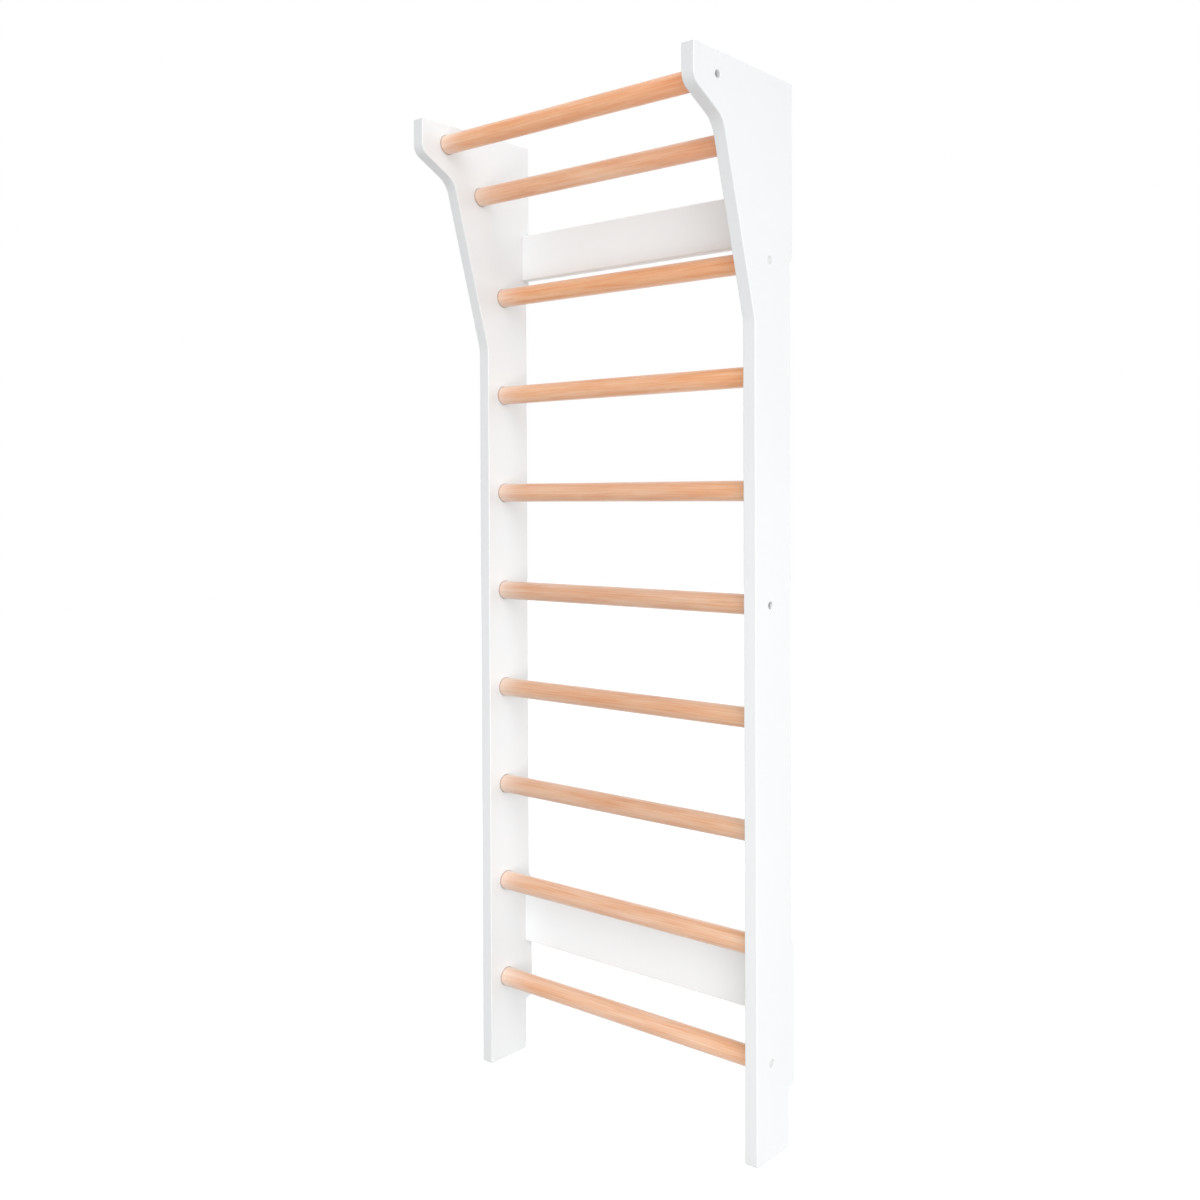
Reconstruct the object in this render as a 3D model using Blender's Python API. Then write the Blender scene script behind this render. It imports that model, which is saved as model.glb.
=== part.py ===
"""Wall bars: two side panels, ten round rungs and two back boards.

The frame has +Z up, +X to the right and +Y towards the wall.
Its origin is on the floor, under the middle of the whole object.
"""
import math

import bmesh
import bpy
from mathutils import Matrix, Vector

# Clearance between pieces that touch, seat or slide into each other
FIT = 0.0003

# Side panels
PANEL_THICKNESS = 0.027
INNER_WIDTH = 0.656
PANEL_DEPTH = 0.120
EDGE_ROUNDING = 0.002
EDGE_STEPS = 2
ARC_POINT_SPACING = 0.005
FEWEST_ARC_STEPS = 3
MOST_ARC_STEPS = 6

# Rungs, numbered from the top; heights are between axes
RUNG_DIAMETER = 0.038
RUNG_END_CHAMFER = 0.0015
RUNG_SPACING = 0.2065
EVENLY_SPACED_RUNGS = 8
BOTTOM_RUNG_HEIGHT = 0.172
SECOND_RUNG_RISE = 0.2025
TOP_RUNG_RISE = 0.089
RUNG_SETBACK = 0.046
SECOND_RUNG_REACH = 0.017
TOP_RUNG_REACH = 0.108
BOLTED_RUNGS = (1, 3, 6, 10)

# The head of a side panel, where it leans forward to carry the top rung
TOP_COVER = 0.041
NOSE_COVER = 0.066
NOSE_FACE_HEIGHT = 0.066
NOSE_ROUNDING = 0.026
NECK_AHEAD_OF_SECOND_RUNG = 0.074
NECK_ABOVE_SECOND_RUNG = 0.018
NECK_ROUNDING = 0.048
TAPER_LENGTH = 0.444
TAPER_ROUNDING = 0.060

# The rear edge of a side panel, with its two wall pads and skirting notch
PAD_PROUD = 0.0075
PAD_RAMP = 0.012
PAD_ROUNDING = 0.004
PAD_BELOW_UPPER_BOARD = 0.027
PAD_ABOVE_LOWER_BOARD = 0.022
SKIRTING_NOTCH_DEPTH = 0.018
SKIRTING_NOTCH_HEIGHT = 0.108
SKIRTING_ROUNDING = 0.007
CORNER_ROUNDING = 0.003

# Back boards, flush with the wall pads
BOARD_THICKNESS = 0.020
UPPER_BOARD_HEIGHT = 0.0975
UPPER_BOARD_ABOVE_THIRD_RUNG = 0.0435
LOWER_BOARD_HEIGHT = 0.112
LOWER_BOARD_ABOVE_BOTTOM_RUNG = 0.061
BOARD_ROUNDING = 0.004
BOARD_EDGE_STEPS = 4

# Low head bolts through the panels, and threaded inserts in the rung ends
BOLT_DIAMETER = 0.008
BOLT_HEAD_DIAMETER = 0.013
BOLT_HEAD_HEIGHT = 0.005
BOLT_HEAD_SOFTENING = 0.0006
BOLT_TIP_CHAMFER = 0.001
BOLT_GRIP = 0.018
HEX_SOCKET_WIDTH = 0.005
HEX_SOCKET_DEPTH = 0.0025
COUNTERBORE_DEPTH = 0.011
COUNTERBORE_CLEARANCE = 0.0005
BOLT_WEB = 0.007
INSERT_WALL = 0.002
INSERT_LENGTH = 0.020

# Caps that close two of the four counterbores on each panel
CAPPED_RUNGS = (3, 10)
CAP_RECESS = 0.0006
CAP_THICKNESS = 0.0016
CAP_SOFTENING = 0.0005
CAP_STEM_DIAMETER = 0.009

# Dowels between the back boards and the panels
DOWEL_DIAMETER = 0.008
DOWEL_LENGTH = 0.030
DOWEL_CHAMFER = 0.001
DOWEL_FROM_BOARD_EDGE = 0.022

# Facets round a turned piece
RUNG_SIDES = 32
BOLT_SIDES = 16
DOWEL_SIDES = 12

# Edges bent more than this stay sharp
SHARP_ANGLE = math.radians(30)

# How far a cutter reaches past the surface that it opens
CUTTER_REACH = 0.010

# Derived places
NOSE_REACH = TOP_RUNG_REACH + NOSE_COVER
FRONT_EDGE_Y = (NOSE_REACH - PANEL_DEPTH) / 2
THIRD_RUNG_HEIGHT = BOTTOM_RUNG_HEIGHT + (EVENLY_SPACED_RUNGS - 1) * RUNG_SPACING
SECOND_RUNG_HEIGHT = THIRD_RUNG_HEIGHT + SECOND_RUNG_RISE
TOP_RUNG_HEIGHT = SECOND_RUNG_HEIGHT + TOP_RUNG_RISE
HEIGHT = TOP_RUNG_HEIGHT + TOP_COVER
INNER_FACE_X = INNER_WIDTH / 2
WALL_Y = FRONT_EDGE_Y + PANEL_DEPTH
BOARD_MIDDLE_Y = WALL_Y - BOARD_THICKNESS / 2
UPPER_BOARD_BOTTOM = THIRD_RUNG_HEIGHT + UPPER_BOARD_ABOVE_THIRD_RUNG
LOWER_BOARD_BOTTOM = BOTTOM_RUNG_HEIGHT + LOWER_BOARD_ABOVE_BOTTOM_RUNG

# Derived fits
RUNG_SOCKET_DEPTH = PANEL_THICKNESS - COUNTERBORE_DEPTH - BOLT_WEB
RUNG_LENGTH = INNER_WIDTH + 2 * (RUNG_SOCKET_DEPTH - FIT)
RUNG_SOCKET_RADIUS = RUNG_DIAMETER / 2 + FIT
COUNTERBORE_RADIUS = BOLT_HEAD_DIAMETER / 2 + COUNTERBORE_CLEARANCE
BOLT_HOLE_RADIUS = BOLT_DIAMETER / 2 + FIT
BOLT_SEAT_X = INNER_FACE_X + PANEL_THICKNESS - COUNTERBORE_DEPTH + FIT
INSERT_RADIUS = BOLT_HOLE_RADIUS + INSERT_WALL
RUNG_BORE_RADIUS = INSERT_RADIUS + FIT
DOWEL_HOLE_RADIUS = DOWEL_DIAMETER / 2 + FIT
DOWEL_HOLE_DEPTH = DOWEL_LENGTH / 2 + FIT


def clear_scene():
    for old in list(bpy.data.objects):
        bpy.data.objects.remove(old, do_unlink=True)


def finish(name, colour, roughness, metallic=0.0):
    """A plain material with one colour."""
    material = bpy.data.materials.new(name)
    material.use_nodes = True
    shader = material.node_tree.nodes["Principled BSDF"]
    shader.inputs["Base Color"].default_value = (*colour, 1.0)
    shader.inputs["Roughness"].default_value = roughness
    shader.inputs["Metallic"].default_value = metallic
    material.diffuse_color = (*colour, 1.0)
    return material


def new_object(name, mesh, material, place, parent):
    """Link a mesh to the scene at its place, and give it its finish."""
    piece = bpy.data.objects.new(name, mesh)
    bpy.context.scene.collection.objects.link(piece)
    if not mesh.materials:
        mesh.materials.append(material)
    piece.location = place
    piece.parent = parent
    return piece


def mesh_from(bm, name):
    """Turn a bmesh into a mesh whose round sides shade smooth."""
    bmesh.ops.recalc_face_normals(bm, faces=bm.faces)
    mesh = bpy.data.meshes.new(name)
    bm.to_mesh(mesh)
    bm.free()
    mesh.shade_smooth()
    mesh.set_sharp_from_angle(angle=SHARP_ANGLE)
    return mesh


def turned(bm, profile, sides, offset=(0.0, 0.0, 0.0)):
    """Revolve a profile of (x, radius) points about the X axis into a closed skin.

    A profile that starts and ends on the axis gives a solid, and one that
    never meets the axis is closed on itself and gives a ring.
    """
    middle = Vector(offset)
    rings = []
    for x, radius in profile:
        if radius == 0.0:
            rings.append([bm.verts.new(middle + Vector((x, 0.0, 0.0)))])
            continue
        ring = []
        for step in range(sides):
            angle = 2 * math.pi * step / sides
            point = Vector((x, radius * math.cos(angle), radius * math.sin(angle)))
            ring.append(bm.verts.new(middle + point))
        rings.append(ring)
    pairs = list(zip(rings, rings[1:]))
    if len(rings[0]) > 1:
        pairs.append((rings[-1], rings[0]))
    for lower, upper in pairs:
        for step in range(sides):
            following = (step + 1) % sides
            corners = [lower[step % len(lower)], lower[following % len(lower)]]
            corners += [upper[following % len(upper)], upper[step % len(upper)]]
            bm.faces.new(list(dict.fromkeys(corners)))


def cut(mesh, cutter_mesh, name):
    """Take a cutter's solids out of a mesh, and return the mesh that is left."""
    body = bpy.data.objects.new(name, mesh)
    cutter = bpy.data.objects.new(name + "_cutter", cutter_mesh)
    for helper in (body, cutter):
        bpy.context.scene.collection.objects.link(helper)
    cutter.display_type = "WIRE"
    cutter.hide_render = True
    boolean = body.modifiers.new("cut", "BOOLEAN")
    boolean.operation = "DIFFERENCE"
    boolean.solver = "EXACT"
    boolean.object = cutter
    bpy.context.view_layer.update()
    evaluated = body.evaluated_get(bpy.context.evaluated_depsgraph_get())
    result = bpy.data.meshes.new_from_object(evaluated)
    for helper in (body, cutter):
        bpy.data.objects.remove(helper, do_unlink=True)
    result.name = name
    return result


def arc_steps(radius):
    """More points on a larger round."""
    wanted = round(radius / ARC_POINT_SPACING) + 2
    return max(FEWEST_ARC_STEPS, min(MOST_ARC_STEPS, wanted))


def rounded_outline(corners):
    """Round each (y, z, radius) corner of a closed outline with an arc."""
    points = []
    for index, (y, z, radius) in enumerate(corners):
        corner = Vector((y, z))
        before = Vector(corners[index - 1][:2]) - corner
        after = Vector(corners[(index + 1) % len(corners)][:2]) - corner
        half_angle = before.angle(after) / 2
        setback = radius / math.tan(half_angle)
        inwards = (before.normalized() + after.normalized()).normalized()
        centre = corner + inwards * radius / math.sin(half_angle)
        start = corner + before.normalized() * setback - centre
        end = corner + after.normalized() * setback - centre
        steps = arc_steps(radius)
        sweep = start.angle_signed(end)
        for step in range(steps + 1):
            turn = Matrix.Rotation(-sweep * step / steps, 2)
            points.append(centre + turn @ start)
    return points


def panel_corners():
    """The side panel's outline, from the floor at the front, round by the wall and back."""
    foot_y = WALL_Y - SKIRTING_NOTCH_DEPTH
    recess_y = WALL_Y - PAD_PROUD
    lower_pad_top = LOWER_BOARD_BOTTOM + LOWER_BOARD_HEIGHT + PAD_ABOVE_LOWER_BOARD
    upper_pad_bottom = UPPER_BOARD_BOTTOM - PAD_BELOW_UPPER_BOARD
    nose_y = FRONT_EDGE_Y - NOSE_REACH
    neck_y = FRONT_EDGE_Y - SECOND_RUNG_REACH - NECK_AHEAD_OF_SECOND_RUNG
    neck_z = SECOND_RUNG_HEIGHT + NECK_ABOVE_SECOND_RUNG
    return [
        (FRONT_EDGE_Y, 0.0, CORNER_ROUNDING),
        (foot_y, 0.0, CORNER_ROUNDING),
        (foot_y, SKIRTING_NOTCH_HEIGHT, SKIRTING_ROUNDING),
        (WALL_Y, SKIRTING_NOTCH_HEIGHT, SKIRTING_ROUNDING),
        (WALL_Y, lower_pad_top, PAD_ROUNDING),
        (recess_y, lower_pad_top + PAD_RAMP, PAD_ROUNDING),
        (recess_y, upper_pad_bottom - PAD_RAMP, PAD_ROUNDING),
        (WALL_Y, upper_pad_bottom, PAD_ROUNDING),
        (WALL_Y, HEIGHT, CORNER_ROUNDING),
        (nose_y, HEIGHT, CORNER_ROUNDING),
        (nose_y, HEIGHT - NOSE_FACE_HEIGHT, NOSE_ROUNDING),
        (neck_y, neck_z, NECK_ROUNDING),
        (FRONT_EDGE_Y, HEIGHT - TAPER_LENGTH, TAPER_ROUNDING),
    ]


def rung_axis(number):
    """Y and Z of a rung's axis; rung 1 is the top one."""
    if number == 1:
        return FRONT_EDGE_Y - TOP_RUNG_REACH, TOP_RUNG_HEIGHT
    if number == 2:
        return FRONT_EDGE_Y - SECOND_RUNG_REACH, SECOND_RUNG_HEIGHT
    steps_down = number - 3
    return FRONT_EDGE_Y + RUNG_SETBACK, THIRD_RUNG_HEIGHT - steps_down * RUNG_SPACING


def rung_numbers():
    """The two rungs of the head, then the evenly spaced ones."""
    return range(1, EVENLY_SPACED_RUNGS + 3)


def board_dowel_heights():
    """The heights of the dowels, two at each end of each board."""
    heights = []
    for bottom, height in (
        (UPPER_BOARD_BOTTOM, UPPER_BOARD_HEIGHT),
        (LOWER_BOARD_BOTTOM, LOWER_BOARD_HEIGHT),
    ):
        heights.append(bottom + height - DOWEL_FROM_BOARD_EDGE)
        heights.append(bottom + DOWEL_FROM_BOARD_EDGE)
    return heights


def panel_holes(side):
    """Cutters for one panel: rung sockets, stepped bolt holes and dowel holes.

    They stand in the panel's own frame, whose x is 0 on its inner face.
    """
    bm = bmesh.new()
    before = -CUTTER_REACH
    beyond = PANEL_THICKNESS + CUTTER_REACH
    socket = RUNG_SOCKET_DEPTH
    seat = PANEL_THICKNESS - COUNTERBORE_DEPTH
    for number in rung_numbers():
        y, z = rung_axis(number)
        profile = [(before, 0.0), (before, RUNG_SOCKET_RADIUS), (socket, RUNG_SOCKET_RADIUS)]
        if number in BOLTED_RUNGS:
            profile += [(socket, BOLT_HOLE_RADIUS), (seat, BOLT_HOLE_RADIUS)]
            profile += [(seat, COUNTERBORE_RADIUS), (beyond, COUNTERBORE_RADIUS), (beyond, 0.0)]
        else:
            profile += [(socket, 0.0)]
        turned(bm, [(side * x, radius) for x, radius in profile], RUNG_SIDES, (0.0, y, z))
    for z in board_dowel_heights():
        profile = [(before, 0.0), (before, DOWEL_HOLE_RADIUS)]
        profile += [(DOWEL_HOLE_DEPTH, DOWEL_HOLE_RADIUS), (DOWEL_HOLE_DEPTH, 0.0)]
        profile = [(side * x, radius) for x, radius in profile]
        turned(bm, profile, DOWEL_SIDES, (0.0, BOARD_MIDDLE_Y, z))
    return mesh_from(bm, "panel_holes")


def side_panel(name, side, material, parent):
    """One side panel: its outline, as thick as the board it is cut from, with soft edges."""
    bm = bmesh.new()
    outline = rounded_outline(panel_corners())
    face = bm.faces.new([bm.verts.new((0.0, point.x, point.y)) for point in outline])
    grown = bmesh.ops.extrude_face_region(bm, geom=[face])["geom"]
    moved = [item for item in grown if isinstance(item, bmesh.types.BMVert)]
    bmesh.ops.translate(bm, verts=moved, vec=(side * PANEL_THICKNESS, 0.0, 0.0))
    rims = [edge for edge in bm.edges if abs(edge.verts[0].co.x - edge.verts[1].co.x) < FIT]
    bmesh.ops.bevel(
        bm,
        geom=rims,
        offset=EDGE_ROUNDING,
        offset_type="OFFSET",
        segments=EDGE_STEPS,
        profile=0.5,
        affect="EDGES",
    )
    mesh = cut(mesh_from(bm, name), panel_holes(side), name)
    mesh.set_sharp_from_angle(angle=SHARP_ANGLE)
    return new_object(name, mesh, material, (side * INNER_FACE_X, 0.0, 0.0), parent)


def rung_profile(bolted):
    """Half of a rung's outline from its left end to its right end."""
    end = RUNG_LENGTH / 2
    radius = RUNG_DIAMETER / 2
    if bolted:
        bore_floor = end - INSERT_LENGTH - FIT
        half = [(bore_floor, 0.0), (bore_floor, RUNG_BORE_RADIUS), (end, RUNG_BORE_RADIUS)]
    else:
        half = [(end, 0.0)]
    half += [(end, radius - RUNG_END_CHAMFER), (end - RUNG_END_CHAMFER, radius)]
    left = [(-x, r) for x, r in half]
    return left + half[::-1]


def rungs(material, parent):
    """Ten rungs; the bolted ones are bored at both ends for their inserts."""
    meshes = {}
    for bolted in (True, False):
        bm = bmesh.new()
        turned(bm, rung_profile(bolted), RUNG_SIDES)
        meshes[bolted] = mesh_from(bm, "bored_rung" if bolted else "plain_rung")
    for number in rung_numbers():
        y, z = rung_axis(number)
        mesh = meshes[number in BOLTED_RUNGS]
        new_object(f"rung_{number:02d}", mesh, material, (0.0, y, z), parent)


def back_board(name, bottom, height, material, parent):
    """A flat board between the panels, with rounded long edges and dowel holes in its ends."""
    bm = bmesh.new()
    bmesh.ops.create_cube(bm, size=1.0)
    length = INNER_WIDTH - 2 * FIT
    bmesh.ops.scale(bm, vec=(length, BOARD_THICKNESS, height), verts=bm.verts)
    long_edges = [edge for edge in bm.edges if abs(edge.verts[0].co.x - edge.verts[1].co.x) > FIT]
    bmesh.ops.bevel(
        bm,
        geom=long_edges,
        offset=BOARD_ROUNDING,
        offset_type="OFFSET",
        segments=BOARD_EDGE_STEPS,
        profile=0.5,
        affect="EDGES",
    )
    body = mesh_from(bm, name)
    holes = bmesh.new()
    floor = INNER_FACE_X - DOWEL_HOLE_DEPTH
    beyond = INNER_FACE_X + CUTTER_REACH
    offset = height / 2 - DOWEL_FROM_BOARD_EDGE
    for side in (-1, 1):
        for z in (-offset, offset):
            profile = [(floor, 0.0), (floor, DOWEL_HOLE_RADIUS)]
            profile += [(beyond, DOWEL_HOLE_RADIUS), (beyond, 0.0)]
            turned(holes, [(side * x, r) for x, r in profile], DOWEL_SIDES, (0.0, 0.0, z))
    mesh = cut(body, mesh_from(holes, "board_holes"), name)
    mesh.set_sharp_from_angle(angle=SHARP_ANGLE)
    place = (0.0, BOARD_MIDDLE_Y, bottom + height / 2)
    return new_object(name, mesh, material, place, parent)


def bolt_mesh():
    """A socket head screw along +X: its shank's tip inwards, its head's seat at x = 0."""
    head = BOLT_HEAD_DIAMETER / 2
    shank = BOLT_DIAMETER / 2
    length = BOLT_WEB + BOLT_GRIP
    bm = bmesh.new()
    profile = [(-length, 0.0), (-length, shank - BOLT_TIP_CHAMFER)]
    profile += [(BOLT_TIP_CHAMFER - length, shank), (0.0, shank), (0.0, head)]
    profile += [(BOLT_HEAD_HEIGHT - BOLT_HEAD_SOFTENING, head)]
    profile += [(BOLT_HEAD_HEIGHT, head - BOLT_HEAD_SOFTENING), (BOLT_HEAD_HEIGHT, 0.0)]
    turned(bm, profile, BOLT_SIDES)
    recess = bmesh.new()
    corner = HEX_SOCKET_WIDTH / math.sqrt(3)
    floor = BOLT_HEAD_HEIGHT - HEX_SOCKET_DEPTH
    mouth = BOLT_HEAD_HEIGHT + HEX_SOCKET_DEPTH
    turned(recess, [(floor, 0.0), (floor, corner), (mouth, corner), (mouth, 0.0)], 6)
    mesh = cut(mesh_from(bm, "bolt"), mesh_from(recess, "hex"), "socket_head_bolt")
    mesh.set_sharp_from_angle(angle=SHARP_ANGLE)
    return mesh


def insert_mesh():
    """A threaded insert: a plain ring along X, from its mouth at x = 0 inwards."""
    bm = bmesh.new()
    inner = BOLT_HOLE_RADIUS
    profile = [(-INSERT_LENGTH, inner), (-INSERT_LENGTH, INSERT_RADIUS)]
    profile += [(0.0, INSERT_RADIUS), (0.0, inner)]
    turned(bm, profile, BOLT_SIDES)
    return mesh_from(bm, "threaded_insert")


def dowel_mesh():
    """A wooden dowel along X with chamfered ends."""
    bm = bmesh.new()
    half = DOWEL_LENGTH / 2
    radius = DOWEL_DIAMETER / 2
    right = [(half, 0.0), (half, radius - DOWEL_CHAMFER), (half - DOWEL_CHAMFER, radius)]
    left = [(-x, r) for x, r in right]
    turned(bm, left + right[::-1], DOWEL_SIDES)
    return mesh_from(bm, "dowel")


def cap_mesh():
    """A cap along +X: a disc whose face is at x = 0, and a stem that stands on the bolt."""
    disc = COUNTERBORE_RADIUS - FIT
    stem = CAP_STEM_DIAMETER / 2
    stem_end = BOLT_HEAD_HEIGHT + 2 * FIT + CAP_RECESS - COUNTERBORE_DEPTH
    bm = bmesh.new()
    profile = [(stem_end, 0.0), (stem_end, stem), (-CAP_THICKNESS, stem)]
    profile += [(-CAP_THICKNESS, disc), (-CAP_SOFTENING, disc)]
    profile += [(0.0, disc - CAP_SOFTENING), (0.0, 0.0)]
    turned(bm, profile, BOLT_SIDES)
    return mesh_from(bm, "cap")


def fastenings(bolt_finish, insert_finish, cap_finish, dowel_finish, parent):
    """Bolts, inserts and caps at the bolted rungs, and dowels at the board ends."""
    bolt = bolt_mesh()
    insert = insert_mesh()
    cap = cap_mesh()
    dowel = dowel_mesh()
    dowel_names = ("upper_board_top", "upper_board_bottom", "lower_board_top", "lower_board_bottom")
    for side, word in ((-1, "left"), (1, "right")):
        turn = 0.0 if side > 0 else math.pi
        for number in BOLTED_RUNGS:
            y, z = rung_axis(number)
            place = (side * BOLT_SEAT_X, y, z)
            piece = new_object(f"{word}_bolt_{number:02d}", bolt, bolt_finish, place, parent)
            piece.rotation_euler.z = turn
            place = (side * RUNG_LENGTH / 2, y, z)
            piece = new_object(f"{word}_insert_{number:02d}", insert, insert_finish, place, parent)
            piece.rotation_euler.z = turn
        for number in CAPPED_RUNGS:
            y, z = rung_axis(number)
            place = (side * (INNER_FACE_X + PANEL_THICKNESS - CAP_RECESS), y, z)
            piece = new_object(f"{word}_cap_{number:02d}", cap, cap_finish, place, parent)
            piece.rotation_euler.z = turn
        for name, z in zip(dowel_names, board_dowel_heights()):
            place = (side * INNER_FACE_X, BOARD_MIDDLE_Y, z)
            new_object(f"{word}_dowel_{name}", dowel, dowel_finish, place, parent)


def build():
    clear_scene()
    white = finish("white_lacquer", (0.86, 0.86, 0.85), 0.42)
    beech = finish("oiled_beech", (0.70, 0.45, 0.27), 0.50)
    steel = finish("dark_zinc_steel", (0.22, 0.22, 0.23), 0.38, 1.0)
    zinc = finish("insert_zinc", (0.62, 0.60, 0.55), 0.35, 1.0)
    grey_plastic = finish("cap_plastic", (0.72, 0.72, 0.72), 0.45)
    pale_wood = finish("dowel_beech", (0.76, 0.57, 0.38), 0.65)
    wall_bars = bpy.data.objects.new("wall_bars", None)
    bpy.context.scene.collection.objects.link(wall_bars)
    side_panel("left_side_panel", -1, white, wall_bars)
    side_panel("right_side_panel", 1, white, wall_bars)
    rungs(beech, wall_bars)
    back_board("upper_back_board", UPPER_BOARD_BOTTOM, UPPER_BOARD_HEIGHT, white, wall_bars)
    back_board("lower_back_board", LOWER_BOARD_BOTTOM, LOWER_BOARD_HEIGHT, white, wall_bars)
    fastenings(steel, zinc, grey_plastic, pale_wood, wall_bars)


build()
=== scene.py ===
# %% [markdown]
# Wall bars: two white lacquered side panels, ten round beech rungs and two white back boards.
# The sizes come from the imported frame, so every finished piece sits where its solid sits.
# This first cell loads that frame and keeps its solids, whose boxes give the places.

# %% Load the frame
import math

import bmesh
import bpy
from mathutils import Matrix, Vector


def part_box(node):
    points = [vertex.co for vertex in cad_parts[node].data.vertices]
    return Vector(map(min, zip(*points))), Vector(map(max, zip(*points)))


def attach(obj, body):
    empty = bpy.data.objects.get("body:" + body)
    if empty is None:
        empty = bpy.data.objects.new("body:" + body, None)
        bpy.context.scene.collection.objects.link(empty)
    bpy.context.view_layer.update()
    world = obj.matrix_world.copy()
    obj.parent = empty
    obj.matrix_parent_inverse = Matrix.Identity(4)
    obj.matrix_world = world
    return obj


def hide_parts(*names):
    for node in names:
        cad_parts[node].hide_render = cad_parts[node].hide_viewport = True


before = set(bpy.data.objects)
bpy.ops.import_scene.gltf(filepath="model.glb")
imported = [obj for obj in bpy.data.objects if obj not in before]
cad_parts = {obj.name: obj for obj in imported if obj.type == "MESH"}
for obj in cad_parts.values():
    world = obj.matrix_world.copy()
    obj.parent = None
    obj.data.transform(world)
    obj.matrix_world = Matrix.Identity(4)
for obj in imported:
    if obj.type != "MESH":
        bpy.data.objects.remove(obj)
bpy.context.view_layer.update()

# %% [markdown]
# The pieces fit into each other: the rungs sit in sockets in the panels, and the boards lie
# flush with the panels' wall pads. So the places are read from the frame's boxes, and only the
# sizes that no box tells, such as a rounding or a socket's depth, are named here.

# %% Places read from the frame
right_low, right_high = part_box("right_side_panel")
INNER_FACE_X = right_low.x
OUTER_FACE_X = right_high.x
PANEL_THICKNESS = OUTER_FACE_X - INNER_FACE_X
TOP_Z = right_high.z
NOSE_Y = right_low.y
WALL_Y = right_high.y

RUNG_NUMBERS = range(1, 11)
BOLTED_RUNGS = (1, 3, 6, 10)
CAPPED_RUNGS = (3, 10)


def middle_of(node):
    """The centre of a node's box."""
    low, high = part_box(node)
    return (low + high) / 2


def rung_axis(number):
    """The point half way along a rung's axis."""
    return middle_of(f"rung_{number:02d}")


rung_low, rung_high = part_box("rung_03")
RUNG_RADIUS = (rung_high.z - rung_low.z) / 2
RUNG_LENGTH = rung_high.x - rung_low.x
print(f"rungs {RUNG_LENGTH * 1000:.1f} mm long and {RUNG_RADIUS * 2000:.1f} mm thick")

# %% Sizes that the boxes don't tell
FIT = 0.0003
PANEL_DEPTH = 0.120
FRONT_EDGE_Y = WALL_Y - PANEL_DEPTH
EDGE_ROUNDING = 0.002
BOARD_ROUNDING = 0.004

NOSE_FACE_HEIGHT = 0.066
NOSE_ROUNDING = 0.026
NECK_AHEAD_OF_SECOND_RUNG = 0.074
NECK_ABOVE_SECOND_RUNG = 0.018
NECK_ROUNDING = 0.048
TAPER_LENGTH = 0.444
TAPER_ROUNDING = 0.060

PAD_PROUD = 0.0075
PAD_RAMP = 0.012
PAD_ROUNDING = 0.004
PAD_BELOW_UPPER_BOARD = 0.027
PAD_ABOVE_LOWER_BOARD = 0.022
SKIRTING_NOTCH_DEPTH = 0.018
SKIRTING_NOTCH_HEIGHT = 0.108
SKIRTING_ROUNDING = 0.007
CORNER_ROUNDING = 0.003

COUNTERBORE_DEPTH = 0.011
COUNTERBORE_RADIUS = 0.007
BOLT_RADIUS = 0.004
BOLT_HOLE_RADIUS = BOLT_RADIUS + FIT
BOLT_WEB = 0.007
BOLT_HEAD_RADIUS = 0.0065
BOLT_HEAD_HEIGHT = 0.005
BOLT_SOFTENING = 0.0006
HEX_SOCKET_WIDTH = 0.005
HEX_SOCKET_DEPTH = 0.0025
CAP_THICKNESS = 0.0016
CAP_SOFTENING = 0.0005
CAP_STEM_RADIUS = 0.0045
INSERT_WALL = 0.002
INSERT_LENGTH = 0.020
DOWEL_RADIUS = 0.004
DOWEL_LENGTH = 0.030
SOCKET_DEPTH = PANEL_THICKNESS - COUNTERBORE_DEPTH - BOLT_WEB
SOCKET_RADIUS = RUNG_RADIUS + FIT
RUNG_END_CHAMFER = 0.0015
RUNG_BORE_RADIUS = BOLT_HOLE_RADIUS + INSERT_WALL + FIT
RUNG_BORE_DEPTH = INSERT_LENGTH + FIT
DOWEL_HOLE_RADIUS = DOWEL_RADIUS + FIT
DOWEL_HOLE_DEPTH = DOWEL_LENGTH / 2 + FIT
SOCKET_RIM = 0.0010
COUNTERBORE_RIM = 0.0010
PAST_THE_FACE = 0.010

# %% How finely round shapes are drawn
SOCKET_SIDES = 96
RUNG_SIDES = 80
RUNG_STATIONS = 12
FASTENING_SIDES = 64
DOWEL_HOLE_SIDES = 32
HEXAGON_SIDES = 6
HOLE_RIM_DEGREES = (10, 30, 50, 70, 90)
SOFT_END_DEGREES = (0, 30, 60, 90)
DEGREES_PER_ARC_STEP = 6.0
FEWEST_ARC_STEPS = 4
PANEL_BEVEL_STEPS = 4
BOARD_BEVEL_STEPS = 8
ROUND_BEVEL = 0.5
SHARP_ANGLE = math.radians(35)

# %% [markdown]
# The camera stands to the right of the bars at eye height and looks at them from 38 degrees.
# It was found by lining up the panels' corners and the rungs' ends with the picture.
# The picture was cropped from a wider one, so its optical centre is off the middle, and
# the camera's shift puts it back there.

# %% Camera
IMAGE_WIDTH = 1200
FOCAL_PIXELS = 1264.26
OPTICAL_CENTRE = (684.23, 512.98)
SENSOR_WIDTH = 36.0
CAMERA_PLACE = (1.6402, -1.8282 + FRONT_EDGE_Y, 1.1909)
CAMERA_TURN = 38.341
CAMERA_TILT = -0.652
CAMERA_ROLL = -0.192

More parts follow.
